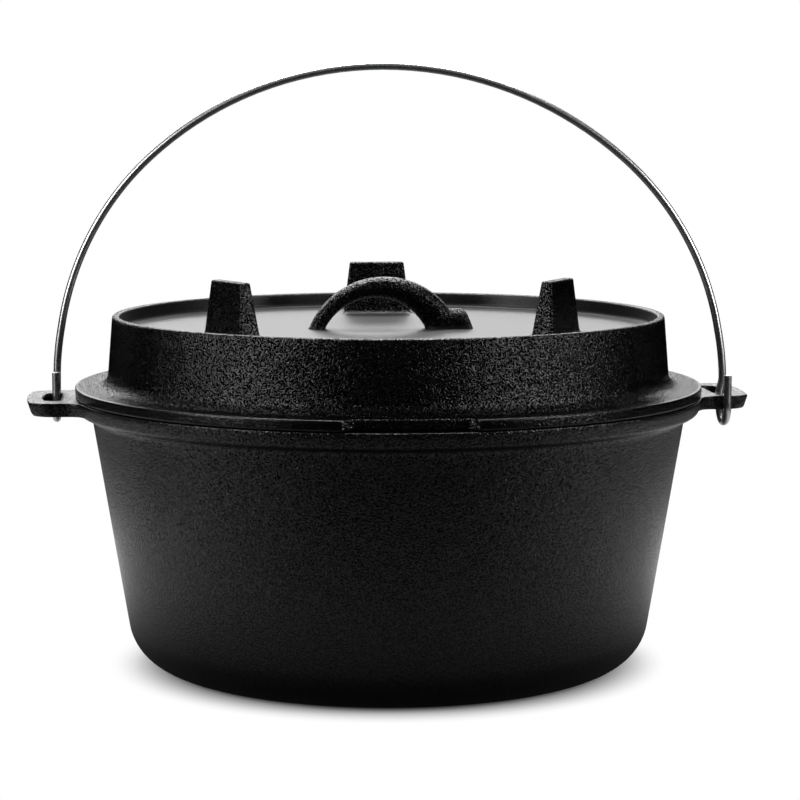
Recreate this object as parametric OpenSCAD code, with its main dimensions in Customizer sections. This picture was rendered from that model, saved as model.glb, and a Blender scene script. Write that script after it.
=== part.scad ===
// Camp dutch oven: a deep cast-iron pot with two loop ears, a lid with a raised coal rim,
// three feet and a loop handle, and a steel wire bail hooked through the ears.
// Millimetres, +Z up, origin at the centre of the pot's flat bottom, ears along X.

/* [Pot] */
// Height of the pot, from its bottom to the top of its rim
pot_h = 140.4; // [110:0.1:180]
// Radius where the wall would meet the floor with no rounding
base_r = 132; // [115:1:145]
// Slope of the wall out from upright, in degrees
wall_draft = 9.4; // [5:0.1:12]
// Thickness of the wall
wall_t = 4.8; // [4:0.1:7]
// Thickness of the bottom
floor_t = 5.5; // [4:0.1:8]
// Outer radius between the bottom and the wall
corner_r = 25.5; // [15:0.5:35]

/* [Rim] */
// How far the rim stands out from the top of the wall
rim_out = 7.2; // [6:0.1:14]
// Height of the rim from its top to its underside
rim_h = 8.6; // [8:0.1:12]
// Slope of the rim's side in from upright, in degrees
rim_slope = 14; // [8:1:24]
// Radius between the rim's side and its underside
rim_round = 3.5; // [2.5:0.5:6]
// Radius of the hollow under the rim
rim_fillet = 4.5; // [1:0.5:5]

/* [Ears] */
// How far the ears reach out from the rim
ear_out = 24.4; // [20:0.2:32]
// Width of an ear
ear_w = 60; // [52:1:72]
// Thickness of an ear
ear_t = 7; // [5:0.5:8]
// Corner radius at the tip of an ear
ear_corner = 12; // [6:0.5:16]
// Radius of the hollow where an ear leaves the rim
ear_root = 12; // [6:0.5:14]
// How far the hollow runs into the rim's edge
ear_bite = 0.4; // [0.2:0.1:1]
// How far the tip of an ear slopes in towards its underside
ear_lean = 2.3; // [0:0.1:4]
// Width of the iron on each side of the slot, which the bail hooks round
ear_strip = 12; // [9:0.5:13]
// Iron between the rim and the slot
ear_land = 6.6; // [5:0.1:8]
// Width of the slot
slot_w = 9.5; // [8:0.5:11]
// Corner radius of the slot
slot_corner = 4; // [2:0.5:4]
// How much the slot's outer edge bows
slot_bow = 2; // [1:0.5:3]

/* [Lid] */
// How far the lid is turned on the pot, in degrees
lid_turn = -1.7; // [-20:0.1:20]
// How far the rim shows beyond the lid's flange
rim_show = 0.4; // [0.2:0.1:4]
// Thickness of the flange at its edge
flange_t = 5.6; // [4:0.1:8]
// How far the flange stands out from the lid's wall
flange_out = 16; // [12:0.5:20]
// Radius of the hollow between the flange and the wall
flange_fillet = 6.5; // [2:0.5:8]
// Height of the lid's wall above the rim
lid_h = 41.6; // [34:0.2:60]
// Slope of the lid's wall in from upright, in degrees
lid_draft = 4.6; // [1:0.1:8]
// Thickness of the lid's wall
lid_t = 3.8; // [3.4:0.1:7]
// Depth of the coal tray below the lip
tray_depth = 8; // [5:0.5:14]
// Thickness of the tray's plate
tray_t = 4.6; // [4:0.1:7]
// Radius of the hollow round the tray
tray_fillet = 2.5; // [2:0.5:6]
// Rounding of the lip
lip_round = 1.5; // [0.5:0.1:2.2]
// Depth of the ring that locates the lid in the pot's mouth
skirt_h = 5; // [3:0.5:9]
// Gap between the lid and the rim that it rests on
seat_gap = 0.2; // [0.1:0.05:0.5]

/* [Notch] */
// Width of the notch in the flange at its mouth
notch_mouth = 67; // [50:1:80]
// Width of the notch at its back
notch_back = 52; // [30:1:60]
// Depth of the notch
notch_depth = 6; // [3:0.5:8]

/* [Feet] */
// Number of feet on the lid
foot_count = 3; // [3:1:4]
// Distance from the axis to the outer face of a foot at its base
foot_r = 100; // [80:0.5:115]
// Height of a foot above the tray
foot_h = 28.4; // [22:0.2:36]
// Width of a foot at its base
foot_base_w = 36.4; // [26:0.2:44]
// Width of a foot at its top
foot_top_w = 29.6; // [20:0.2:34]
// Thickness of a foot at its base
foot_base_t = 12; // [8:0.5:16]
// Thickness of a foot at its top
foot_top_t = 5.5; // [3:0.5:8]
// How far the outer face of a foot leans in
foot_lean = 2.5; // [0:0.5:6]
// Rounding of the foot's top corners
foot_round = 2; // [0.5:0.5:4]

/* [Lid handle] */
// How far the handle is set off the lid's middle, towards its slim end
grip_shift = 2; // [0:0.5:6]
// Length of the handle's arch on the tray, outside
grip_l = 78.6; // [70:0.2:100]
// Height of the arch above the tray
grip_h = 26.9; // [24:0.1:34]
// Thickness of the bar at the top of the arch
bar_t = 10.8; // [8:0.1:13]
// Width of the bar
bar_w = 13; // [9:0.5:18]
// Length of the finger gap on the tray
gap_l = 52.2; // [44:0.2:56]
// How far the finger gap is set towards the slim end of the arch
gap_shift = 4.8; // [0:0.2:6]
// Length of the stub beyond the arch's stout end
stub_l = 6.6; // [3:0.2:10]
// Height of the stub
stub_h = 10.2; // [6:0.2:12]
// How far the stub's end slopes back
stub_lean = 4; // [1:0.5:5]

/* [Bail] */
// Diameter of the wire
wire_d = 4; // [3:0.1:5]
// Play between a hook and the ear that it goes round
hook_play = 0.7; // [0.5:0.1:1.5]
// Distance from the rim to the middle of the hooks
hook_out = 9.8; // [9:0.1:10.5]
// How far a hook's free end stands above its middle
hook_rise = 14.5; // [10:0.5:20]
// How far the bend of a hook hangs below its middle
hook_drop = 1; // [0:0.5:3]
// How far the straight part of a leg stands above its hook's middle
leg_h = 5; // [4:0.5:12]
// Height over which a leg swings out to meet the arch
jog_h = 7; // [4:0.5:15]
// How much the crown's radius exceeds half the distance between the legs
arch_spread = 10.8; // [2:0.2:20]
// Radius of the arch's shoulders
shoulder_r = 152.5; // [80:2.5:160]
// How far the arch leans to one side, from its foot to its top
arch_lean = 2.4; // [0:0.2:5]
// How far the foot of the arch stands outside its legs
arch_flare = 0.7; // [0:0.1:2]
// Height over which the arch comes back from that
flare_h = 25; // [10:1:40]

/* [Hidden] */
$fn = 96;
arc_steps = 10;
crown_steps = 14;
shoulder_steps = 14;
wire_sides = 16;
eps = 1;

rim_r = base_r + pot_h * tan(wall_draft) + rim_out;
ear_reach = rim_r + ear_out;
ear_side = ear_w / 2;
ear_in = base_r + pot_h * tan(wall_draft) - wall_t / 2;
slot_in = rim_r + ear_land;
slot_l = ear_w - 2 * ear_strip;

lid_z = pot_h + seat_gap;
flange_r = rim_r - rim_show;
lid_wall_r = flange_r - flange_out;
lip_z = lid_z + lid_h;
tray_z = lip_z - tray_depth;
foot_z = tray_z + foot_h;

hook_x = rim_r + hook_out;
hook_y = ear_side - ear_strip / 2;
hook_z = pot_h - ear_t / 2;
hook_r = norm([ear_strip, ear_t]) / 2 + hook_play + wire_d / 2;

// Points along an arc about c, from angle a to angle b
function arc(c, r, a, b, steps = arc_steps) =
    [for (i = [0 : steps]) c + r * [cos(a + (b - a) * i / steps), sin(a + (b - a) * i / steps)]];

// Radius of the pot's wall at height z, moved in square to the wall
function wall_r(z, inset = 0) = base_r + z * tan(wall_draft) - inset / cos(wall_draft);

// Centre of a corner of radius r between a floor and the wall, moved in by inset
function corner_c(level, inset, r) = [wall_r(level + r, inset + r), level + r];

// Radius of the lid's outer wall at height z, moved in square to the wall
function lid_r(z, inset = 0) = lid_wall_r - (z - lid_z) * tan(lid_draft) - inset / cos(lid_draft);

// Radius of an arc from its chord and its rise
function arch_r(span, rise) = (span * span / 4 + rise * rise) / (2 * rise);

// Section of the pot: outside from the bottom up, over the rim and down the inside
module pot_section() {
    side_l = (rim_h - rim_round + rim_round * sin(rim_slope)) / cos(rim_slope);
    rim_c = [rim_r - side_l * sin(rim_slope) - rim_round * cos(rim_slope), pot_h - rim_h + rim_round];
    // The hollow under the rim touches the wall and the rim's round
    side = base_r + rim_fillet / cos(wall_draft) - rim_c[0];
    slope = tan(wall_draft);
    reach = rim_round + rim_fillet;
    a = 1 + slope * slope;
    b = slope * side - rim_c[1];
    c = side * side + rim_c[1] * rim_c[1] - reach * reach;
    hollow_z = (-b - sqrt(b * b - a * c)) / a;
    hollow_c = [wall_r(hollow_z, -rim_fillet), hollow_z];
    meet = atan2(rim_c[1] - hollow_z, hollow_c[0] - rim_c[0]);
    in_r = corner_r - wall_t;
    polygon(concat(
        [[0, 0]],
        arc(corner_c(0, 0, corner_r), corner_r, -90, -wall_draft),
        arc(hollow_c, rim_fillet, 180 - wall_draft, 180 - meet),
        arc(rim_c, rim_round, -meet, -rim_slope),
        [[rim_r, pot_h], [wall_r(pot_h, wall_t), pot_h]],
        arc(corner_c(floor_t, wall_t, in_r), in_r, -wall_draft, -90),
        [[0, floor_t]]));
}

// Plan of one ear, drawn along +X, with hollows where its sides run into the rim
module ear_plan() {
    tip = ear_reach - ear_corner;
    flat = ear_side - ear_corner;
    root_y = ear_side + ear_root;
    root_r = rim_r - ear_bite;
    root_x = sqrt(pow(root_r + ear_root, 2) - root_y * root_y);
    translate([ear_in, -ear_side]) square([tip - ear_in, ear_w]);
    translate([tip - eps, -flat]) square([ear_corner + 2 * eps, 2 * flat]);
    for (side = [-1, 1]) {
        translate([tip, side * flat]) circle(ear_corner);
        difference() {
            polygon([[ear_in, 0], [root_x, 0], [root_x, side * root_y],
                [root_x, side * root_y] * root_r / (root_r + ear_root)]);
            translate([root_x, side * root_y]) circle(ear_root);
        }
    }
}

// Plan of the slot through an ear, with a bowed outer edge
module slot_plan() {
    bow_r = arch_r(slot_l, slot_bow);
    out = slot_in + slot_w;
    intersection() {
        union() {
            translate([slot_in + slot_corner, -slot_l / 2])
                square([slot_w - 2 * slot_corner, slot_l]);
            translate([slot_in, slot_corner - slot_l / 2])
                square([slot_w, slot_l - 2 * slot_corner]);
            for (x = [slot_in + slot_corner, out - slot_corner], side = [-1, 1])
                translate([x, side * (slot_l / 2 - slot_corner)]) circle(slot_corner);
        }
        translate([out - bow_r, 0]) circle(bow_r);
    }
}

// Section that rounds the ears' tips: level top and underside, sloped outer face
module ear_section() {
    low = pot_h - ear_t;
    polygon([[ear_in - eps, low], [ear_reach - ear_lean, low], [ear_reach, pot_h],
        [ear_in - eps, pot_h]]);
}

module ear() {
    difference() {
        intersection() {
            translate([0, 0, pot_h - ear_t]) linear_extrude(ear_t) ear_plan();
            rotate_extrude() ear_section();
        }
        translate([0, 0, pot_h - ear_t - eps]) linear_extrude(ear_t + 2 * eps) slot_plan();
    }
}

module pot() {
    color("#1b1b1c") {
        rotate_extrude() pot_section();
        for (turn = [0, 180]) rotate(turn) ear();
    }
}

// Section of the lid: skirt, flange, wall and lip outside, then the tray, the same again below
module lid_section() {
    low = lid_z - skirt_h;
    top = lid_z + flange_t;
    hollow = [lid_r(top + flange_fillet, -flange_fillet), top + flange_fillet];
    lip_c = lip_z - lip_round;
    tray_r = lid_r(lip_z, lid_t);
    under = tray_z - tray_t;
    polygon(concat(
        [[lid_r(lid_z), low], [lid_r(lid_z), lid_z], [flange_r, lid_z], [flange_r, top]],
        arc(hollow, flange_fillet, -90, -180 + lid_draft),
        arc([lid_r(lip_c, lip_round), lip_c], lip_round, lid_draft, 90),
        arc([tray_r + lip_round, lip_c], lip_round, 90, 180),
        arc([tray_r - tray_fillet, tray_z + tray_fillet], tray_fillet, 0, -90),
        [[0, tray_z], [0, under]],
        arc([lid_r(under, lid_t + tray_fillet), under - tray_fillet], tray_fillet, 90, lid_draft),
        [[lid_r(lid_z, lid_t), low]]));
}

// Plan of the notch in the flange, towards -Y: a level back and ends that swing out in an S
module notch_plan() {
    back_r = flange_r - notch_depth;
    back = asin(notch_back / 2 / back_r);
    mouth = asin(notch_mouth / 2 / flange_r);
    swing = [for (i = [0 : arc_steps]) i / arc_steps];
    right = [for (k = swing)
        let (r = back_r + notch_depth * (1 - cos(180 * k)) / 2, a = -90 + back + (mouth - back) * k)
        r * [cos(a), sin(a)]];
    left = [for (k = [arc_steps : -1 : 0]) [-right[k][0], right[k][1]]];
    out = (flange_r + notch_depth) * [sin(mouth), -cos(mouth)];
    polygon(concat(arc([0, 0], back_r, -90 - back, -90 + back), right,
        [out, [-out[0], out[1]]], left));
}

// One foot, drawn along +X: its side profile cut by its front profile
module foot() {
    low = tray_z - tray_t / 2;
    sink = tray_t / 2 / foot_h;
    out_top = foot_r - foot_lean;
    in_base = foot_r - foot_base_t;
    in_top = out_top - foot_top_t;
    half_base = foot_base_w / 2;
    half_top = foot_top_w / 2;
    spread = (half_base - half_top) * sink;
    intersection() {
        rotate([90, 0, 0]) linear_extrude(foot_base_w + 2 * spread, center = true)
            polygon([[in_base - (in_top - in_base) * sink, low], [foot_r + foot_lean * sink, low],
                [out_top, foot_z], [in_top, foot_z]]);
        rotate([90, 0, 90]) linear_extrude(foot_r + foot_base_t) difference() {
            polygon([[-half_base - spread, low], [half_base + spread, low],
                [half_top, foot_z], [-half_top, foot_z]]);
            for (side = [-1, 1]) translate([side * half_top, foot_z]) rotate(side * 45)
                square([2 * foot_round, foot_round], center = true);
        }
    }
}

// Loop handle: an oval bar lofted between two arcs that aren't concentric, so it is slim at one
// end and stout at the other, where a stub stands on the tray
module grip() {
    rings = 24;
    sides = 16;
    low = tray_z - tray_t / 2;
    out_r = arch_r(grip_l, grip_h);
    in_r = arch_r(gap_l, grip_h - bar_t);
    out_c = [0, tray_z + grip_h - out_r];
    in_c = [-gap_shift, tray_z + grip_h - bar_t - in_r];
    out_a = acos((low - out_c[1]) / out_r);
    in_a = acos((low - in_c[1]) / in_r);
    ring = [for (i = [0 : rings])
        let (
            k = 2 * i / rings - 1,
            p = out_c + out_r * [sin(out_a * k), cos(out_a * k)],
            q = in_c + in_r * [sin(in_a * k), cos(in_a * k)])
        [(p + q) / 2, (p - q) / 2]];
    points = [for (r = ring, j = [0 : sides - 1])
        let (turn = 360 * j / sides, p = r[0] + cos(turn) * r[1])
        [p[0], bar_w / 2 * sin(turn), p[1]]];
    skin = [for (i = [0 : rings - 1], j = [0 : sides - 1], half = [0, 1])
        let (n = (j + 1) % sides, a = i * sides, b = a + sides)
        half == 0 ? [a + j, a + n, b + n] : [a + j, b + n, b + j]];
    ends = [[for (j = [sides - 1 : -1 : 0]) j], [for (j = [0 : sides - 1]) rings * sides + j]];
    polyhedron(points, concat(skin, ends));
    stub_in = grip_l / 2 - bar_t;
    stub_out = grip_l / 2 + stub_l;
    half = bar_w / 2;
    intersection() {
        rotate([90, 0, 0]) linear_extrude(bar_w + eps, center = true)
            polygon([[stub_in, low], [stub_out, low], [stub_out, tray_z],
                [stub_out - stub_lean, tray_z + stub_h], [stub_in, tray_z + stub_h]]);
        rotate([90, 0, 90]) linear_extrude(stub_out + eps) union() {
            translate([-half, low]) square([bar_w, tray_z + stub_h - half - low]);
            translate([0, tray_z + stub_h - half]) circle(half);
        }
    }
}

module lid() {
    color("#1b1b1c") rotate(lid_turn) {
        difference() {
            rotate_extrude() lid_section();
            translate([0, 0, lid_z - eps]) linear_extrude(flange_t + flange_fillet) notch_plan();
        }
        for (i = [0 : foot_count - 1]) rotate(90 + i * 360 / foot_count) foot();
        translate([-grip_shift, 0, 0]) grip();
    }
}

// Route of one hook: its free end, the bend under the ear, then the top of its long leg
function hook_route(side) =
    let (mid = [side * hook_x, -side * hook_y, hook_z], bend = arc([0, -hook_drop], hook_r, 180, 360))
    concat([mid + [0, -hook_r, hook_rise]], [for (p = bend) mid + [0, p[0], p[1]]],
        [mid + [0, hook_r, leg_h]]);

// Route of the wire from one free end to the other. The arch stands over the line between the
// long legs, as a crown between two tighter shoulders, and leans a little to one side
function bail_route() =
    let (
        half_span = norm([hook_x, hook_y]),
        along = [hook_x, -hook_y] / half_span,
        crown_r = half_span + arch_spread,
        sink = sqrt(arch_spread * (crown_r + half_span - 2 * shoulder_r)),
        turn = atan2(sink, half_span - shoulder_r),
        crown = arc([0, -sink], crown_r, turn, 180 - turn, crown_steps),
        shoulder = arc([half_span - shoulder_r, 0], shoulder_r, 0, turn, shoulder_steps),
        right = [for (i = [0 : shoulder_steps - 1]) shoulder[i]],
        left = [for (i = [shoulder_steps - 1 : -1 : 0]) [-shoulder[i][0], shoulder[i][1]]],
        end = hook_route(-1))
    concat(hook_route(1),
        [for (p = concat(right, crown, left))
            let (
                lean = arch_lean * (1 / 3 - pow(p[1] / (crown_r - sink), 2)),
                flare = sign(p[0]) * arch_flare * max(0, 1 - p[1] / flare_h),
                out = p[0] + lean + flare)
            [out * along[0], out * along[1] + hook_r, hook_z + leg_h + jog_h + p[1]]],
        [for (i = [len(end) - 1 : -1 : 0]) end[i]]);

function unit(v) = v / norm(v);

// Round wire swept along a route, its rings carried along without twisting
module wire(route, d) {
    last = len(route) - 1;
    ahead = [for (i = [0 : last]) unit(route[min(i + 1, last)] - route[max(i - 1, 0)])];
    side = [for (i = 0, n = [1, 0, 0]; i <= last; i = i + 1,
        n = i > last ? n : unit(n - (n * ahead[i]) * ahead[i])) n];
    points = [for (i = [0 : last], j = [0 : wire_sides - 1])
        let (a = 360 * j / wire_sides)
        route[i] + d / 2 * (cos(a) * side[i] + sin(a) * cross(ahead[i], side[i]))];
    skin = [for (i = [0 : last - 1], j = [0 : wire_sides - 1], half = [0, 1])
        let (n = (j + 1) % wire_sides, a = i * wire_sides, b = a + wire_sides)
        half == 0 ? [a + j, b + n, a + n] : [a + j, b + j, b + n]];
    ends = [[for (j = [0 : wire_sides - 1]) j],
        [for (j = [wire_sides - 1 : -1 : 0]) last * wire_sides + j]];
    polyhedron(points, concat(skin, ends));
}

module bail() {
    color("#c9ccd0") wire(bail_route(), wire_d);
}

pot();
lid();
bail();
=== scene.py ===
import math

import bmesh
import bpy
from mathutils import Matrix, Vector


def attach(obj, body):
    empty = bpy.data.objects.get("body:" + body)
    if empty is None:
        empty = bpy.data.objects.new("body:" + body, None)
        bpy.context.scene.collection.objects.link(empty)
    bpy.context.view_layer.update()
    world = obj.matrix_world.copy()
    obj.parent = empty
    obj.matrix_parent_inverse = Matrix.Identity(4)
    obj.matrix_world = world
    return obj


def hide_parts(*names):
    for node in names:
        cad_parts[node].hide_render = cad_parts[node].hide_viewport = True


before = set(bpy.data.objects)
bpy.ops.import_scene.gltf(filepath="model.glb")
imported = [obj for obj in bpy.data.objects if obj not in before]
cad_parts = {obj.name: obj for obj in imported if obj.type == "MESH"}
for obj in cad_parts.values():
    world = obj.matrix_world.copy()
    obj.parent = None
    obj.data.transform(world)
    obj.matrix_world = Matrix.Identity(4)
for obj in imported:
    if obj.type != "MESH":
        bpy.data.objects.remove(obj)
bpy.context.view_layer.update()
scene = bpy.context.scene
mm = 0.001


# helpers: colours and nodes

def linear(hexColour):
    # sRGB hex to linear RGBA
    parts = [int(hexColour[i:i + 2], 16) / 255 for i in (1, 3, 5)]
    return [c / 12.92 if c <= 0.04045 else ((c + 0.055) / 1.055) ** 2.4 for c in parts] + [1.0]


def add(tree, kind, links=(), operation=None, **inputs):
    # one node: inputs by name or index, links as (node or output socket, input name or index)
    node = tree.nodes.new(kind)
    if operation:
        node.operation = operation
    for key, value in inputs.items():
        if hasattr(node, key):
            setattr(node, key, value)
        else:
            socket = int(key[1:]) if key[1:].isdigit() else key.replace("_", " ")
            node.inputs[socket].default_value = value
    for source, target in links:
        socket = source.outputs[0] if isinstance(source, bpy.types.Node) else source
        tree.links.new(socket, node.inputs[target])
    return node


# helpers: outlines and meshes, mm

def smoothStep(x):
    x = min(1.0, max(0.0, x))
    return x * x * (3 - 2 * x)


def cosSin(degrees):
    return math.cos(math.radians(degrees)), math.sin(math.radians(degrees))


def arc(cx, cy, r, a, b, steps):
    points = []
    for i in range(steps + 1):
        c, s = cosSin(a + (b - a) * i / steps)
        points.append((cx + r * c, cy + r * s))
    return points


def spin(x, y, angle):
    c, s = math.cos(angle), math.sin(angle)
    return x * c - y * s, x * s + y * c


def softCorner(before, corner, after, r, steps=5, hold=0.4):
    # an arc of radius r in place of a corner, with a point just off each end to keep the flats flat
    p, c, q = Vector(before), Vector(corner), Vector(after)
    u, v = (p - c).normalized(), (q - c).normalized()
    half = u.angle(v) / 2
    cut = r / math.tan(half)
    mid = c + (u + v).normalized() * r / math.sin(half)
    start, end = c + u * cut - mid, c + v * cut - mid
    turn = start.angle_signed(end)
    points = [c + u * (cut + hold)]
    for i in range(steps + 1):
        points.append(mid + Vector(spin(start.x, start.y, -turn * i / steps)))
    points.append(c + v * (cut + hold))
    return [(w.x, w.y) for w in points]


def between(p, q, count):
    return [(p[0] + (q[0] - p[0]) * i / (count + 1), p[1] + (q[1] - p[1]) * i / (count + 1))
            for i in range(1, count + 1)]


def meshPiece(name, points, faces):
    mesh = bpy.data.meshes.new(name)
    mesh.from_pydata([[c * mm for c in p] for p in points], [], faces)
    bm = bmesh.new()
    bm.from_mesh(mesh)
    bmesh.ops.remove_doubles(bm, verts=bm.verts, dist=2e-6)
    bmesh.ops.dissolve_degenerate(bm, edges=bm.edges, dist=1e-6)
    bmesh.ops.recalc_face_normals(bm, faces=bm.faces)
    bm.to_mesh(mesh)
    bm.free()
    piece = bpy.data.objects.new(name, mesh)
    scene.collection.objects.link(piece)
    return piece


def spun(name, angles, sections):
    # sections[i] is the (radius, height) outline at angles[i]; all have the same number of points
    rows, cols = len(angles), len(sections[0])
    points = [(r * math.cos(a), r * math.sin(a), z) for a, s in zip(angles, sections) for r, z in s]
    faces = []
    for i in range(rows):
        this, after = i * cols, ((i + 1) % rows) * cols
        faces += [(this + j, after + j, after + j + 1, this + j + 1) for j in range(cols - 1)]
    return meshPiece(name, points, faces)


def stacked(name, rings):
    # closed skin through rings of points, with a flat cap at each end
    count = len(rings[0])
    points = [p for ring in rings for p in ring]
    faces = []
    for i in range(len(rings) - 1):
        this, after = i * count, (i + 1) * count
        for j in range(count):
            k = (j + 1) % count
            faces.append((this + j, this + k, after + k, after + j))
    faces += [tuple(range(count)), tuple((len(rings) - 1) * count + j for j in range(count))]
    return meshPiece(name, points, faces)


def plainMesh(piece):
    # modifiers and node trees turned into the piece's own mesh
    bpy.context.view_layer.update()
    done = bpy.data.meshes.new_from_object(piece.evaluated_get(bpy.context.evaluated_depsgraph_get()))
    piece.modifiers.clear()
    piece.data = done
    done.name = piece.name
    return piece


def withTools(piece, operation, *tools):
    # the tools cut from the piece or joined to it, then removed
    for tool in tools:
        change = piece.modifiers.new(tool.name, "BOOLEAN")
        change.operation, change.solver, change.object = operation, "EXACT", tool
    plainMesh(piece)
    for tool in tools:
        bpy.data.objects.remove(tool)
    return piece


def shadeSoft(piece, angle=40):
    piece.data.shade_smooth()
    piece.data.set_sharp_from_angle(angle=math.radians(angle))
    return piece


def finishPiece(piece, body, slot, material, *nodes):
    if material is not None:
        piece.data.materials.clear()
        piece.data.materials.append(material)
    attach(piece, body)
    if nodes:
        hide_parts(*nodes)
    print(f"{piece.name}: {len(piece.data.polygons)} faces")


# pot: one casting, turned section with two slotted ears, mm

pot = dict(height=140.4, baseRadius=132, draft=9.4, wall=4.8, floor=5.5, corner=25.5,
           rimOut=7.2, rimHeight=8.6, rimSlope=14, rimRound=3.5, rimHollow=4.5,
           edge=0.5, edgeLean=0.3, mouthEdge=1.0, plainSteps=104)
# blend is how far the outline leaves the rim before the section is wholly an ear's
ear = dict(out=24.4, width=60, thick=7, corner=12, root=12, lean=2.3, strip=12, land=6.6, blend=5,
           slotWidth=9.5, slotCorner=4, slotBow=2, slotEdge=0.8, lowEdge=1.3, lowShare=0.75)

slope = math.tan(math.radians(pot["draft"]))
wallTop = pot["baseRadius"] + pot["height"] * slope
rimRadius = wallTop + pot["rimOut"]
earReach = rimRadius + ear["out"]
earLow = pot["height"] - ear["thick"]


def wallRadius(z, inset=0.0):
    return pot["baseRadius"] + z * slope - inset / math.cos(math.radians(pot["draft"]))


def rimCurves():
    # centres of the rim's round and of the hollow under it, which touch each other
    s = math.radians(pot["rimSlope"])
    r = pot["rimRound"]
    side = (pot["rimHeight"] - r + r * math.sin(s)) / math.cos(s)
    cr = rimRadius - side * math.sin(s) - r * math.cos(s)
    cz = pot["height"] - pot["rimHeight"] + r
    h = pot["rimHollow"]
    off = pot["baseRadius"] + h / math.cos(math.radians(pot["draft"])) - cr
    a, b = 1 + slope ** 2, slope * off - cz
    c = off ** 2 + cz ** 2 - (r + h) ** 2
    hz = (-b - math.sqrt(b * b - a * c)) / a
    hr = wallRadius(hz, -h)
    meet = math.degrees(math.atan2(cz - hz, hr - cr))
    return cr, cz, hr, hz, meet


rimC = rimCurves()


def rimSide(z):
    # radius of the plain rim at height z, on its round or its sloped side
    cr, cz = rimC[0], rimC[1]
    onSide = rimRadius - (pot["height"] - z) * math.tan(math.radians(pot["rimSlope"]))
    onRound = cr + math.sqrt(max(0.0, pot["rimRound"] ** 2 - (z - cz) ** 2))
    tangentZ = cz - pot["rimRound"] * math.sin(math.radians(pot["rimSlope"]))
    return onSide if z > tangentZ else onRound


def potSection(reach):
    # section where the outline stands at radius reach: the rim's own, or an ear's
    cr, cz, hr, hz, meet = rimC
    top, d, r, e = pot["height"], pot["draft"], pot["corner"], pot["edge"]
    low = ear["lowEdge"]
    w = smoothStep((reach - rimRadius) / ear["blend"])

    def leanAt(z):
        return ear["lean"] * (top - z) / ear["thick"]

    def sidePoint(z, inset):
        return (reach + (rimSide(z) - rimRadius) * (1 - w) - inset * w, z)

    # flat bottom, corner, wall, hollow and round under the rim
    outline = [(0, 0), (50, 0), (90, 0)]
    outline += arc(wallRadius(r, r), r, r, -90, -d, 14)
    hollow = arc(hr, hz, pot["rimHollow"], 180 - d, 180 - meet, 6)
    outline += between(outline[-1], hollow[0], 10) + hollow
    lowAngle = math.degrees(math.asin((cz - earLow) / pot["rimRound"]))
    outline += arc(cr, cz, pot["rimRound"], -meet, -lowAngle, 6)
    # underside of the ear, then its rounded lower edge and its side
    inner = rimSide(earLow)
    tip = sidePoint(earLow, ear["lean"] + low)[0]
    outline += [(inner + (tip - inner) * k, earLow) for k in (0.12, 0.5, 0.9, 1.0)]
    for a in (-72, -54, -36, -18):
        c, s = cosSin(a)
        z = earLow + low * (1 + s)
        outline.append(sidePoint(z, leanAt(z) + low * (1 - c) * ear["lowShare"]))
    outline += [sidePoint(z, leanAt(z)) for z in (earLow + low + 0.5, top - 3, top - e - 0.5)]
    # top of the rim and the ear, then the inside
    brim = reach - e - pot["edgeLean"]
    inside = wallRadius(top, pot["wall"])
    outline += arc(brim, top - e, e, -12, 90, 5)
    outline += [(brim - 0.4, top)]
    outline += [(brim + (inside + 1.6 - brim) * k, top) for k in (0.25, 0.5, 0.75)]
    outline += softCorner((brim, top), (inside, top), (wallRadius(100, pot["wall"]), 100),
                          pot["mouthEdge"], 4)
    inR = r - pot["wall"]
    bendZ = pot["floor"] + inR
    bend = arc(wallRadius(bendZ, pot["wall"] + inR), bendZ, inR, -d, -90, 14)
    outline += between(outline[-1], bend[0], 8) + bend
    outline += [(r, pot["floor"]) for r in (80, 40, 0)]
    return outline


def earOutline():
    # half of one ear's plan as (angle, radius), from the middle of its tip to the rim
    side, c, root = ear["width"] / 2, ear["corner"], ear["root"]
    cx, cy = earReach - c, side - c
    points = [spin(earReach, 0, math.asin(y / earReach)) for y in (0, 3, 6, 9, 12, 15)]
    points += [p for p in arc(cx, cy, c, 4, 90, 16) if math.hypot(*p) < earReach]
    rootY = side + root
    rootX = math.sqrt((rimRadius + root) ** 2 - rootY ** 2)
    last = math.degrees(math.atan2(-rootY, -rootX))
    points += between((cx, side), (rootX, side), 1)
    points += arc(rootX, rootY, root, -90, last, 12)
    return [(math.atan2(y, x), math.hypot(x, y)) for x, y in points]


def potPlan():
    half = earOutline()
    end = half[-1][0]
    steps = pot["plainSteps"]
    plain = [(end + (math.pi - 2 * end) * i / steps, rimRadius) for i in range(1, steps)]
    quarter = half + plain + [(math.pi - a, r) for a, r in reversed(half)]
    return quarter + [(a + math.pi, r) for a, r in quarter[1:-1]]


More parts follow.
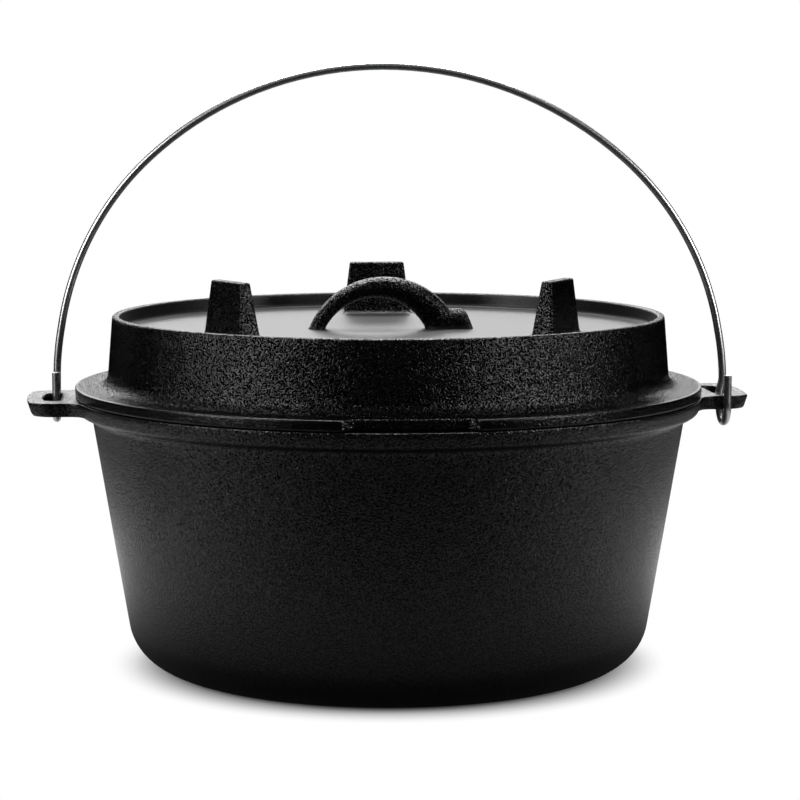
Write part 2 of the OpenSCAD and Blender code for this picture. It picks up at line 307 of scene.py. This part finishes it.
def slotCutter(name, turn):
    # a prism through the ear, flared at both faces so that the slot's edges come out rounded
    inner = rimRadius + ear["land"]
    outer = inner + ear["slotWidth"]
    half = ear["width"] / 2 - ear["strip"]
    c, bow = ear["slotCorner"], ear["slotBow"]
    bowR = (half ** 2 + bow ** 2) / (2 * bow)
    plan = arc(outer - c - bow * 0.7, half - c, c, 10, 90, 6) + arc(inner + c, half - c, c, 90, 180, 7)
    plan += [(x, -y) for x, y in reversed(plan)]
    plan += [(outer - bowR + math.sqrt(bowR ** 2 - y ** 2), y) for y in (-11, -7.5, -4, 0, 4, 7.5, 11)]
    e, top = ear["slotEdge"], pot["height"]
    levels = [(top + 1, e * 1.5), (top, e)]
    levels += [(top - e + e * c, e - e * s) for c, s in map(cosSin, (30, 50, 70, 90))]
    levels += [(top + earLow - z, grow) for z, grow in reversed(levels)]
    rings = []
    for z, grow in levels:
        ring = []
        for i, (x, y) in enumerate(plan):
            px, py = plan[i - 1]
            qx, qy = plan[(i + 1) % len(plan)]
            n = Vector((qy - py, px - qx)).normalized()
            ring.append((*spin(x + n.x * grow, y + n.y * grow, turn), z))
        rings.append(ring)
    return stacked(name, rings)


def makePot():
    plan = potPlan()
    piece = spun("pot", [a for a, r in plan], [potSection(r) for a, r in plan])
    withTools(piece, "DIFFERENCE", slotCutter("slotRight", 0), slotCutter("slotLeft", math.pi))
    return shadeSoft(piece)


# lid: one casting, flange, wall, lip and coal tray, mm

lid = dict(turn=-1.7, seat=140.6, show=0.4, flange=5.6, flangeOut=16, hollow=6.5, height=41.6, draft=4.6,
           wall=3.8, trayDepth=8, trayThick=4.6, trayHollow=2.5, lip=1.5, skirt=5, skirtEdge=1.0,
           edge=0.8, lowEdge=1.3, notchMouth=67, notchBack=52, notchDepth=6, steps=300, notchSteps=16)

flangeRadius = rimRadius - lid["show"]
lidWall = flangeRadius - lid["flangeOut"]
lipZ = lid["seat"] + lid["height"]
trayZ = lipZ - lid["trayDepth"]
lidTurn = math.radians(lid["turn"])


def lidRadius(z, inset=0.0):
    d = math.radians(lid["draft"])
    return lidWall - (z - lid["seat"]) * math.tan(d) - inset / math.cos(d)


def flangeReach(angle):
    # the flange's edge, with the long shallow notch in front
    backR = flangeRadius - lid["notchDepth"]
    back = math.asin(lid["notchBack"] / 2 / backR)
    mouth = math.asin(lid["notchMouth"] / 2 / flangeRadius)
    off = abs((angle + math.pi / 2 + math.pi) % (2 * math.pi) - math.pi)
    k = min(1.0, max(0.0, (off - back) / (mouth - back)))
    return backR + lid["notchDepth"] * (1 - math.cos(math.pi * k)) / 2


def lidSection(reach):
    seat, top = lid["seat"], lid["seat"] + lid["flange"]
    under, low = trayZ - lid["trayThick"], lid["seat"] - lid["skirt"]
    wall, h, d, lip, f = lid["wall"], lid["hollow"], lid["draft"], lid["lip"], lid["trayHollow"]
    inLow = (lidRadius(low, wall), low)
    # underside of the tray, inside of the wall, skirt and flange
    outline = [(0, under), (40, under), (90, under)]
    outline += softCorner((90, under), (lidRadius(under, wall), under), inLow, f, 7)
    outline += between(outline[-1], inLow, 3)
    outline += softCorner((lidRadius(150, wall), 150), (lidRadius(seat, wall), low), (lidWall, low),
                          lid["skirtEdge"], 3, 0.2)
    outline += softCorner((lidWall - 3, low), (lidWall, low), (lidWall, seat), lid["skirtEdge"], 3, 0.2)
    outline += [(lidWall, seat), (lidWall + 3, seat)]
    outline += softCorner((lidWall, seat), (reach, seat), (reach, top), lid["lowEdge"], 5)
    outline += softCorner((reach, seat), (reach, top), (lidWall, top), lid["edge"], 5)
    # hollow above the flange, wall and lip
    hollowR = lidRadius(top + h, -h)
    outline += between(outline[-1], (hollowR, top), 3)
    outline += arc(hollowR, top + h, h, -90, -180 + d, 10)
    lipC = lipZ - lip
    outer = arc(lidRadius(lipC, lip), lipC, lip, d, 90, 6)
    outline += between(outline[-1], outer[0], 6) + outer
    # inside of the lip, hollow round the tray and the tray's floor
    tray = lidRadius(lipZ, wall)
    inner = arc(tray + lip, lipC, lip, 90, 180, 6)
    outline += between(outer[-1], inner[0], 1) + inner
    outline += arc(tray - f, trayZ + f, f, 0, -90, 8)
    outline += [(r, trayZ) for r in (tray - f - 0.6, 125, 110, 90, 70, 50, 30, 12, 0)]
    return outline


def makeLid():
    # even steps, with finer ones from just before each end of the notch to just after, in radians
    steps, ends = lid["steps"], lid["notchSteps"]
    early, late, least = 0.004, 0.008, 0.0012
    angles = [2 * math.pi * i / steps for i in range(steps)]
    mouth = math.asin(lid["notchMouth"] / 2 / flangeRadius)
    back = math.asin(lid["notchBack"] / 2 / flangeRadius)
    front = -math.pi / 2 + 2 * math.pi
    first, last = back - early, mouth + late
    for side in (-1, 1):
        angles += [front + side * (first + (last - first) * i / ends) for i in range(ends + 1)]
    angles = sorted(angles)
    angles = [a for i, a in enumerate(angles) if i == 0 or a - angles[i - 1] > least]
    piece = spun("lid", [a + lidTurn for a in angles], [lidSection(flangeReach(a)) for a in angles])
    return shadeSoft(piece)


# feet: three tapered lugs cast on the tray, mm

foot = dict(count=3, radius=100, height=28.4, baseWidth=36.4, topWidth=29.6, baseThick=12, topThick=5.5,
            lean=2.5, corner=1.1, hollow=3, crown=1.0, sink=0.6)


def footSection(h, grow):
    # rounded rectangle at height h above the tray, widened by grow
    k = h / foot["height"]
    outer = foot["radius"] - foot["lean"] * k + grow
    thin = foot["baseThick"] - foot["lean"] - foot["topThick"]
    inner = foot["radius"] - foot["baseThick"] + thin * k - grow
    half = (foot["baseWidth"] + (foot["topWidth"] - foot["baseWidth"]) * k) / 2 + grow
    c = min(foot["corner"] + grow, (outer - inner) / 2 - 0.05)
    corners = [arc(outer - c, half - c, c, 0, 90, 5), arc(inner + c, half - c, c, 90, 180, 5),
               arc(inner + c, c - half, c, 180, 270, 5), arc(outer - c, c - half, c, 270, 360, 5)]
    ring = []
    for i, corner in enumerate(corners):
        ring += corner + between(corner[-1], corners[(i + 1) % 4][0], 5)
    return [(x, y, trayZ + h) for x, y in ring]


def footMesh():
    f, crown, top = foot["hollow"], foot["crown"], foot["height"]
    rings = [footSection(-foot["sink"], f)]
    for c, s in map(cosSin, (0, 12, 25, 38, 52, 66, 80, 90)):
        rings.append(footSection(f * (1 - c), f * (1 - s)))
    rings += [footSection(h, 0) for h in (8, 13, 18, 23, top - crown - 0.6)]
    for c, s in map(cosSin, (0, 25, 50, 70, 90)):
        rings.append(footSection(top - crown + crown * s, crown * (c - 1)))
    return stacked("lidFeet", rings)


def footRing():
    # Geometry Nodes: the foot repeated round the lid
    tree = bpy.data.node_groups.new("feetRoundLid", "GeometryNodeTree")
    tree.interface.new_socket("Foot", in_out="INPUT", socket_type="NodeSocketGeometry")
    count = tree.interface.new_socket("Count", in_out="INPUT", socket_type="NodeSocketInt")
    first = tree.interface.new_socket("First angle", in_out="INPUT", socket_type="NodeSocketFloat")
    look = tree.interface.new_socket("Material", in_out="INPUT", socket_type="NodeSocketMaterial")
    tree.interface.new_socket("Feet", in_out="OUTPUT", socket_type="NodeSocketGeometry")
    start = add(tree, "NodeGroupInput").outputs
    points = add(tree, "GeometryNodePoints", [(start["Count"], "Count")])
    index = add(tree, "GeometryNodeInputIndex")
    step = add(tree, "ShaderNodeMath", [(start["Count"], 1)], "DIVIDE", _0=2 * math.pi)
    turn = add(tree, "ShaderNodeMath", [(index, 0), (step, 1), (start["First angle"], 2)], "MULTIPLY_ADD")
    euler = add(tree, "ShaderNodeCombineXYZ", [(turn, "Z")])
    rotation = add(tree, "FunctionNodeEulerToRotation", [(euler, 0)])
    copies = add(tree, "GeometryNodeInstanceOnPoints",
                 [(points, "Points"), (start["Foot"], "Instance"), (rotation, "Rotation")])
    real = add(tree, "GeometryNodeRealizeInstances", [(copies, 0)])
    paint = add(tree, "GeometryNodeSetMaterial", [(real, "Geometry"), (start["Material"], "Material")])
    add(tree, "NodeGroupOutput", [(paint, 0)])
    return tree, count.identifier, first.identifier, look.identifier


def makeFeet(material):
    piece = footMesh()
    tree, count, first, look = footRing()
    ring = piece.modifiers.new("feetRoundLid", "NODES")
    ring.node_group = tree
    ring[count] = foot["count"]
    ring[first] = math.pi / 2 + lidTurn
    ring[look] = material
    plainMesh(piece)
    return shadeSoft(piece)


# lid handle: a loop that is slim at one end and stout at the other, with a stub, mm

# square is the power that squares the bar's round section a little
grip = dict(shift=2, length=78.6, height=26.9, bar=10.8, width=13, gap=52.2, gapShift=4.8,
            stub=6.6, stubHeight=10.2, stubLean=4, hollow=1.0, hollowShare=0.6, sink=1.2,
            square=0.86, steps=56, sides=28)


def archRadius(span, rise):
    return (span ** 2 / 4 + rise ** 2) / (2 * rise)


def onLid(p):
    # from the handle's own place to the lid's: shifted, turned and set on the tray
    return (*spin(p[0] - grip["shift"], p[1], lidTurn), trayZ + p[2])


def makeLoop():
    outR = archRadius(grip["length"], grip["height"])
    inR = archRadius(grip["gap"], grip["height"] - grip["bar"])
    outC = (0, grip["height"] - outR)
    inC = (-grip["gapShift"], grip["height"] - grip["bar"] - inR)
    outA = math.acos((-grip["sink"] - outC[1]) / outR)
    inA = math.acos((-grip["sink"] - inC[1]) / inR)
    rings = []
    for i in range(grip["steps"] + 1):
        k = 2 * i / grip["steps"] - 1
        p = Vector((outC[0] + outR * math.sin(outA * k), outC[1] + outR * math.cos(outA * k)))
        q = Vector((inC[0] + inR * math.sin(inA * k), inC[1] + inR * math.cos(inA * k)))
        mid, half = (p + q) / 2, (p - q) / 2
        # flare where the loop meets the tray
        near = max(0.0, 1 - mid.y / grip["hollow"])
        flare = grip["hollow"] * (1 - math.sqrt(max(0.0, 1 - near * near))) * grip["hollowShare"]
        ring = []
        for j in range(grip["sides"]):
            t = 2 * math.pi * j / grip["sides"]
            c, s = [math.copysign(abs(v) ** grip["square"], v) for v in (math.cos(t), math.sin(t))]
            spot = mid + half * (c * (1 + flare / half.length))
            ring.append(onLid((spot.x, (grip["width"] / 2 + flare) * s, spot.y)))
        rings.append(ring)
    return stacked("lidHandle", rings)


def makeStub():
    half = grip["width"] / 2
    inner, outer = grip["length"] / 2 - grip["bar"], grip["length"] / 2 + grip["stub"]
    # each section: distance before the stub's end, drop of its top, trim of its sides
    sections = ((outer - inner, 0, 0), (6, 0, 0), (3, 0.1, 0),
                (1.5, 0.5, 0.25), (0.5, 1.1, 0.7), (0, 1.9, 1.5))
    rings = []
    for before, drop, trim in sections:
        h, w = grip["stubHeight"] - drop, half - trim
        ring = [(w + 0.8, -grip["sink"]), (w + 0.2, 0.8)]
        for c, s in map(cosSin, range(0, 181, 12)):
            ring.append((w * c, h - half + (half - 0.2 * trim) * s))
        ring += [(-w - 0.2, 0.8), (-w - 0.8, -grip["sink"])]
        back = grip["stubLean"] * (1 - before / (outer - inner)) / grip["stubHeight"]
        rings.append([onLid((outer - before - back * max(0.0, z), y, z)) for y, z in ring])
    return stacked("stub", rings)


def makeGrip():
    return shadeSoft(withTools(makeLoop(), "UNION", makeStub()), 50)


# bail: one bent wire, swept along its route by Geometry Nodes, mm

bail = dict(wire=3.96, play=0.7, hookOut=9.8, hookRise=14.5, hookDrop=1, leg=5, jog=7, spread=10.8,
            shoulder=152.5, lean=2.4, flare=0.7, flareHeight=25, sides=28)


def bailRoute():
    hookX = rimRadius + bail["hookOut"]
    hookY = ear["width"] / 2 - ear["strip"] / 2
    hookZ = pot["height"] - ear["thick"] / 2
    hookR = math.hypot(ear["strip"], ear["thick"]) / 2 + bail["play"] + bail["wire"] / 2
    half = math.hypot(hookX, hookY)
    ax, ay = hookX / half, -hookY / half
    crown = half + bail["spread"]
    sink = math.sqrt(bail["spread"] * (crown + half - 2 * bail["shoulder"]))
    turn = math.degrees(math.atan2(sink, half - bail["shoulder"]))
    right = arc(half - bail["shoulder"], 0, bail["shoulder"], 0, turn, 36)
    arch = right + arc(0, -sink, crown, turn, 180 - turn, 36)[1:-1] + [(-x, z) for x, z in reversed(right)]
    spring = hookZ + bail["leg"] + bail["jog"]
    line = []
    for x, z in arch:
        # the arch's lowest stretch is left to the jogs
        if z < 1:
            continue
        flare = math.copysign(bail["flare"], x) * max(0.0, 1 - z / bail["flareHeight"])
        out = x + bail["lean"] * (1 / 3 - (z / (crown - sink)) ** 2) + flare
        line.append((out * ax, out * ay + hookR, spring + z))
    rise = bail["hookRise"]
    legs = {}
    for side in (1, -1):
        x, y = side * hookX, -side * hookY
        hook = [(x, y - hookR, hookZ + z) for z in (rise, rise - 0.35, rise - 4, 4, 0)]
        hook += [(x, y + a, hookZ - bail["hookDrop"] + b) for a, b in arc(0, 0, hookR, 180, 360, 30)]
        # straight leg, then the jog out to the arch
        swing = bail["lean"] / 3 + side * bail["flare"]
        for k in range(13):
            z = 1 + k * (bail["leg"] + bail["jog"] - 1.2) / 12
            out = side * half + swing * smoothStep((z - bail["leg"] + 2) / (bail["jog"] + 2))
            hook.append((out * ax, out * ay + hookR, hookZ + z))
        legs[side] = hook
    return legs[1] + line + list(reversed(legs[-1]))


def sweepWire():
    # Geometry Nodes: a round wire along the edges of the host mesh
    tree = bpy.data.node_groups.new("wireAlongRoute", "GeometryNodeTree")
    tree.interface.new_socket("Route", in_out="INPUT", socket_type="NodeSocketGeometry")
    thick = tree.interface.new_socket("Wire diameter", in_out="INPUT", socket_type="NodeSocketFloat")
    sides = tree.interface.new_socket("Sides", in_out="INPUT", socket_type="NodeSocketInt")
    look = tree.interface.new_socket("Material", in_out="INPUT", socket_type="NodeSocketMaterial")
    tree.interface.new_socket("Wire", in_out="OUTPUT", socket_type="NodeSocketGeometry")
    start = add(tree, "NodeGroupInput").outputs
    route = add(tree, "GeometryNodeMeshToCurve", [(start["Route"], "Mesh")])
    radius = add(tree, "ShaderNodeMath", [(start["Wire diameter"], 0)], "MULTIPLY", _1=0.5)
    ring = add(tree, "GeometryNodeCurvePrimitiveCircle", [(start["Sides"], "Resolution"), (radius, "Radius")])
    wire = add(tree, "GeometryNodeCurveToMesh", [(route, "Curve"), (ring, "Profile Curve")], Fill_Caps=True)
    real = add(tree, "GeometryNodeRealizeInstances", [(wire, 0)])
    paint = add(tree, "GeometryNodeSetMaterial", [(real, "Geometry"), (start["Material"], "Material")])
    add(tree, "NodeGroupOutput", [(paint, 0)])
    return tree, thick.identifier, sides.identifier, look.identifier


def makeBail(material):
    route = bailRoute()
    mesh = bpy.data.meshes.new("bail")
    edges = [(i, i + 1) for i in range(len(route) - 1)]
    mesh.from_pydata([[c * mm for c in p] for p in route], edges, [])
    piece = bpy.data.objects.new("bail", mesh)
    scene.collection.objects.link(piece)
    tree, thick, sides, look = sweepWire()
    sweep = piece.modifiers.new("wireAlongRoute", "NODES")
    sweep.node_group = tree
    sweep[thick] = bail["wire"] * mm
    sweep[sides] = bail["sides"]
    sweep[look] = material
    plainMesh(piece)
    return shadeSoft(piece, 50)


# materials

# The sand's real grain, under half a millimetre, is drawn coarser so that it shows from the camera.
# The even values hold where it is smoothed away: the tray's floor, the wall's foot and the flange's edge.
potLook = dict(dark="#020203", light="#050505", patchMm=25, patchSpan=(0.35, 0.7), grainMm=0.78,
               pebbleMm=1.3, pebbleShare=0.25, reliefMm=0.38, smooth=0.18, rough=0.26, ior=1.45,
               pitLow=0.46, pitHigh=0.76, pitGloss=0.04, gloss=1.0, trayRough=0.0,
               evenRelief=0.3, evenGloss=0.6, rimEven=0.0)
lidLook = dict(potLook, grainMm=0.72, pebbleShare=0.0, reliefMm=0.44, smooth=0.16, rough=0.22,
               pitLow=0.45, pitHigh=0.65, pitGloss=0.0, trayRough=0.30, evenRelief=0.15, rimEven=0.55)
wireLook = dict(colour="#d2d3d5", markMm=0.8, smooth=0.26, rough=0.36, reliefMm=0.03, relief=0.15)

# where the iron's look changes, by distance from the axis or by height, m
ironZones = dict(trayWall=dict(From_Min=0.1385, From_Max=0.1400, To_Min=1.0, To_Max=0.0),
                 trayFloor=dict(From_Min=0.1765, From_Max=0.1745),
                 trayRing=dict(From_Min=0.124, From_Max=0.128),
                 lidOnly=dict(From_Min=0.150, From_Max=0.160),
                 wallFoot=dict(From_Min=0.02, From_Max=0.11, To_Min=0.6, To_Max=0.0),
                 flangeEdge=dict(From_Min=0.1604, From_Max=0.1612))
# where most values of a noise texture lie
noiseSpan = dict(From_Min=0.3, From_Max=0.7)


def newMaterial(name):
    material = bpy.data.materials.new(name)
    material.use_nodes = True
    material.node_tree.nodes.clear()
    return material, material.node_tree


def seasonedIron(name, look):
    # sand-cast iron, oil baked on: black and satin, pebbled like the sand it was poured in
    material, tree = newMaterial(name)
    shader = add(tree, "ShaderNodeBsdfPrincipled", IOR=look["ior"])
    add(tree, "ShaderNodeOutputMaterial", [(shader, "Surface")])
    place = add(tree, "ShaderNodeTexCoord").outputs["Object"]
    split = add(tree, "ShaderNodeSeparateXYZ", [(place, 0)]).outputs
    flat = add(tree, "ShaderNodeCombineXYZ", [(split["X"], "X"), (split["Y"], "Y")])
    reach = add(tree, "ShaderNodeVectorMath", [(flat, 0)], "LENGTH").outputs["Value"]

    # patches of thicker and thinner seasoning
    patch = add(tree, "ShaderNodeTexNoise", [(place, "Vector")], Scale=1 / (look["patchMm"] * mm), Detail=4.0)
    colour = add(tree, "ShaderNodeValToRGB", [(patch, 0)])
    dark, light = colour.color_ramp.elements
    dark.position, light.position = look["patchSpan"]
    dark.color, light.color = linear(look["dark"]), linear(look["light"])
    tree.links.new(colour.outputs[0], shader.inputs["Base Color"])

    # tray: the coal tray's floor and the hollow round it
    floor = add(tree, "ShaderNodeMapRange", [(split["Z"], "Value")], **ironZones["trayFloor"])
    ring = add(tree, "ShaderNodeMapRange", [(reach, "Value")], **ironZones["trayRing"])
    inWall = add(tree, "ShaderNodeMapRange", [(reach, "Value")], **ironZones["trayWall"])
    lidOnly = add(tree, "ShaderNodeMapRange", [(split["Z"], "Value")], **ironZones["lidOnly"])
    tray = add(tree, "ShaderNodeMath", [(floor, 0), (ring, 1)], "MAXIMUM")
    for limit in (inWall, lidOnly):
        tray = add(tree, "ShaderNodeMath", [(tray, 0), (limit, 1)], "MULTIPLY")

    # even: wherever the grain is smoothed away
    wallFoot = add(tree, "ShaderNodeMapRange", [(split["Z"], "Value")], **ironZones["wallFoot"])
    edge = add(tree, "ShaderNodeMapRange", [(reach, "Value")], To_Max=look["rimEven"],
               **ironZones["flangeEdge"])
    even = tray
    for smoothed in (wallFoot, edge):
        even = add(tree, "ShaderNodeMath", [(even, 0), (smoothed, 1)], "MAXIMUM")

    # grain and pebbles, as relief and as change of gloss
    grain = add(tree, "ShaderNodeTexNoise", [(place, "Vector")], Scale=1 / (look["grainMm"] * mm),
                Detail=1.0, Roughness=0.4)
    pebble = add(tree, "ShaderNodeTexVoronoi", [(place, "Vector")], feature="SMOOTH_F1",
                 Scale=1 / (look["pebbleMm"] * mm), Smoothness=0.6)
    relief = add(tree, "ShaderNodeMath", [(pebble.outputs["Distance"], 0), (grain, 2)], "MULTIPLY_ADD",
                 _1=look["pebbleShare"])
    hold = add(tree, "ShaderNodeMapRange", [(even, "Value")], To_Min=1.0, To_Max=look["evenRelief"])
    bump = add(tree, "ShaderNodeBump", [(relief, "Height"), (hold, "Strength")],
               Distance=look["reliefMm"] * mm)
    tree.links.new(bump.outputs[0], shader.inputs["Normal"])
    rough = add(tree, "ShaderNodeMapRange", [(grain, "Value")], To_Min=look["smooth"], To_Max=look["rough"],
                **noiseSpan)
    rough = add(tree, "ShaderNodeMath", [(tray, 0), (rough, 2)], "MULTIPLY_ADD", _1=look["trayRough"])
    tree.links.new(rough.outputs[0], shader.inputs["Roughness"])

    # the pits between the grains hold little gloss or none; their lowered gloss is also painted shade, the
    # shadow the grains cast into the pits
    pitGlossAndShade = add(tree, "ShaderNodeMapRange", [(relief, "Value")], From_Min=look["pitLow"],
              From_Max=look["pitHigh"], To_Min=look["pitGloss"], To_Max=look["gloss"])
    pitGlossAndShade = add(tree, "ShaderNodeMix", [(even, 0), (pitGlossAndShade, 2)], data_type="FLOAT", _3=look["evenGloss"])
    tree.links.new(pitGlossAndShade.outputs[0], shader.inputs["Specular IOR Level"])
    return material


def brightWire():
    # bright plated steel wire: shiny along its length, with faint drawing marks
    material, tree = newMaterial("brightPlatedWire")
    shader = add(tree, "ShaderNodeBsdfPrincipled", Metallic=1.0, Base_Color=linear(wireLook["colour"]))
    add(tree, "ShaderNodeOutputMaterial", [(shader, "Surface")])
    place = add(tree, "ShaderNodeTexCoord").outputs["Object"]
    marks = add(tree, "ShaderNodeTexNoise", [(place, "Vector")], Scale=1 / (wireLook["markMm"] * mm),
                Detail=2.0)
    rough = add(tree, "ShaderNodeMapRange", [(marks, "Value")], To_Min=wireLook["smooth"],
                To_Max=wireLook["rough"], **noiseSpan)
    tree.links.new(rough.outputs[0], shader.inputs["Roughness"])
    bump = add(tree, "ShaderNodeBump", [(marks, "Height")], Strength=wireLook["relief"],
               Distance=wireLook["reliefMm"] * mm)
    tree.links.new(bump.outputs[0], shader.inputs["Normal"])
    return material


# studio: pale floor and white surround, a soft box on each side and a large one high behind, m
# In reflections the floor glows like a lit surface round the pot: a painted reflection, with painted shade
# close to the pot and dark in front, and the surround is a bright band behind with a faint light all round.

studio = dict(floor="#c0c0c0", floorSize=2.2, ambient=0.03, sideLevel=10.0, topLevel=12.0)
# the floor by distance from the pot's axis, but front by depth
floorZones = dict(contact=dict(From_Min=0.110, From_Max=0.147),
                  # near and front are painted shade in the floor's reflected light: close to the pot's foot
                  # and in front
                  near=dict(From_Min=0.10, From_Max=0.42),
                  level=dict(From_Min=0.22, From_Max=0.52, To_Min=1.2, To_Max=0.24),
                  end=dict(From_Min=0.62, From_Max=0.92, To_Min=1.0, To_Max=0.0),
                  front=dict(From_Min=-0.45, From_Max=-0.02))
# the surround by direction: behind by depth, the others by height
surroundZones = dict(behind=dict(From_Min=0.80, From_Max=0.95, To_Max=7.0),
                     low=dict(From_Min=0.04, From_Max=0.40),
                     high=dict(From_Min=0.35, From_Max=0.6, To_Min=1.0, To_Max=0.0),
                     around=dict(From_Min=0.10, From_Max=0.40, To_Max=0.12))


def makeFloor():
    bpy.ops.mesh.primitive_plane_add(size=studio["floorSize"])
    floor = bpy.context.object
    floor.name = "floor"
    material, tree = newMaterial("paleFloor")
    place = add(tree, "ShaderNodeTexCoord").outputs["Object"]
    depth = add(tree, "ShaderNodeSeparateXYZ", [(place, 0)]).outputs["Y"]
    away = add(tree, "ShaderNodeVectorMath", [(place, 0)], "LENGTH").outputs["Value"]
    zones = {}
    for name, span in floorZones.items():
        source = depth if name == "front" else away
        zones[name] = add(tree, "ShaderNodeMapRange", [(source, "Value")], interpolation_type="SMOOTHSTEP",
                          **span)
    # painted reflection: in reflections the floor glows like a lit surface, with painted shade near the pot's
    # foot and in front, dimmer further out and fading at the far end
    paintedTableGlow = zones["near"]
    for name in ("level", "front", "end"):
        paintedTableGlow = add(tree, "ShaderNodeMath", [(paintedTableGlow, 0), (zones[name], 1)], "MULTIPLY")
    # the camera sees white, apart from the shaded floor close to the pot's foot
    ray = add(tree, "ShaderNodeLightPath").outputs
    mirror = add(tree, "ShaderNodeMath", [(ray["Is Glossy Ray"], 0), (ray["Is Transmission Ray"], 1)],
                 "MAXIMUM")
    clear = add(tree, "ShaderNodeMath", [(ray["Is Camera Ray"], 0), (zones["contact"], 1)], "MULTIPLY")
    seen = add(tree, "ShaderNodeMath", [(mirror, 0), (clear, 1)], "MAXIMUM")
    # reflections see the painted lit surface, the camera sees plain white
    glow = add(tree, "ShaderNodeMath", [(mirror, 0), (paintedTableGlow, 1), (ray["Is Camera Ray"], 2)], "MULTIPLY_ADD")
    matte = add(tree, "ShaderNodeBsdfDiffuse", Color=linear(studio["floor"]))
    white = add(tree, "ShaderNodeEmission", [(glow, "Strength")], Color=linear("#ffffff"))
    mix = add(tree, "ShaderNodeMixShader", [(seen, 0), (matte, 1), (white, 2)])
    add(tree, "ShaderNodeOutputMaterial", [(mix, "Surface")])
    floor.data.materials.append(material)


def makeSurround():
    world = bpy.data.worlds.new("studio")
    scene.world = world
    world.use_nodes = True
    tree = world.node_tree
    tree.nodes.clear()
    place = add(tree, "ShaderNodeTexCoord").outputs["Generated"]
    split = add(tree, "ShaderNodeSeparateXYZ", [(place, 0)]).outputs
    zones = {}
    for name, span in surroundZones.items():
        source = split["Y"] if name == "behind" else split["Z"]
        zones[name] = add(tree, "ShaderNodeMapRange", [(source, "Value")], interpolation_type="SMOOTHSTEP",
                          **span)
    band = zones["behind"]
    for name in ("low", "high"):
        band = add(tree, "ShaderNodeMath", [(band, 0), (zones[name], 1)], "MULTIPLY")
    shown = add(tree, "ShaderNodeMath", [(band, 0), (zones["around"], 1)], "MAXIMUM")
    ray = add(tree, "ShaderNodeLightPath").outputs
    mirror = add(tree, "ShaderNodeMath", [(ray["Is Glossy Ray"], 0), (ray["Is Transmission Ray"], 1)],
                 "MAXIMUM")
    soft = add(tree, "ShaderNodeMix", [(mirror, 0), (shown, 3)], data_type="FLOAT", _2=studio["ambient"])
    level = add(tree, "ShaderNodeMath", [(ray["Is Camera Ray"], 0), (soft, 1)], "MAXIMUM")
    back = add(tree, "ShaderNodeBackground", [(level, "Strength")], Color=linear("#ffffff"))
    add(tree, "ShaderNodeOutputWorld", [(back, "Surface")])


def softBox(name, spot, size, level, aim):
    # level is the box's own brightness
    light = bpy.data.lights.new(name, "AREA")
    light.shape, light.size, light.size_y = "RECTANGLE", size[0], size[1]
    light.energy = level * math.pi * size[0] * size[1]
    box = bpy.data.objects.new(name, light)
    box.location = spot
    box.rotation_euler = (Vector(aim) - Vector(spot)).to_track_quat("-Z", "Y").to_euler()
    box.visible_camera = False
    scene.collection.objects.link(box)


def makeStudio():
    makeFloor()
    makeSurround()
    softBox("boxLeft", (-1.16, -0.58, 0.66), (0.36, 0.8), studio["sideLevel"], (0, 0, 0.66))
    softBox("boxRight", (1.12, -0.70, 0.66), (0.36, 0.8), studio["sideLevel"], (0, 0, 0.66))
    softBox("boxTop", (0.0, 0.60, 1.3), (0.9, 1.1), studio["topLevel"], (0, 0.60, 0.15))


# camera: fitted to the ellipses of rim, flange, lip and base; down in radians, turn in degrees

view = dict(lens=116.55, sensor=36, shift=0.0147, place=(-0.1309, -1.3347, 0.2969), down=0.1189, turn=-5.6)


def makeCamera():
    camera = bpy.data.cameras.new("camera")
    camera.lens, camera.sensor_width, camera.shift_x = view["lens"], view["sensor"], view["shift"]
    eye = bpy.data.objects.new("camera", camera)
    eye.location = view["place"]
    eye.rotation_euler = (math.pi / 2 - view["down"], 0, math.radians(view["turn"]))
    scene.collection.objects.link(eye)
    scene.camera = eye


potIron = seasonedIron("seasonedPotIron", potLook)
lidIron = seasonedIron("seasonedLidIron", lidLook)
wire = brightWire()

finishPiece(makePot(), "pot", "pot_iron", potIron, "pot")
finishPiece(makeLid(), "lid", "lid_iron", lidIron, "lid")
finishPiece(makeFeet(lidIron), "lid", "lid_iron", None)
finishPiece(makeGrip(), "lid", "lid_iron", lidIron)
finishPiece(makeBail(wire), "bail", "bail_wire", None, "bail")

makeStudio()
makeCamera()
scene.view_settings.view_transform = "Standard"
print("studio and camera set")
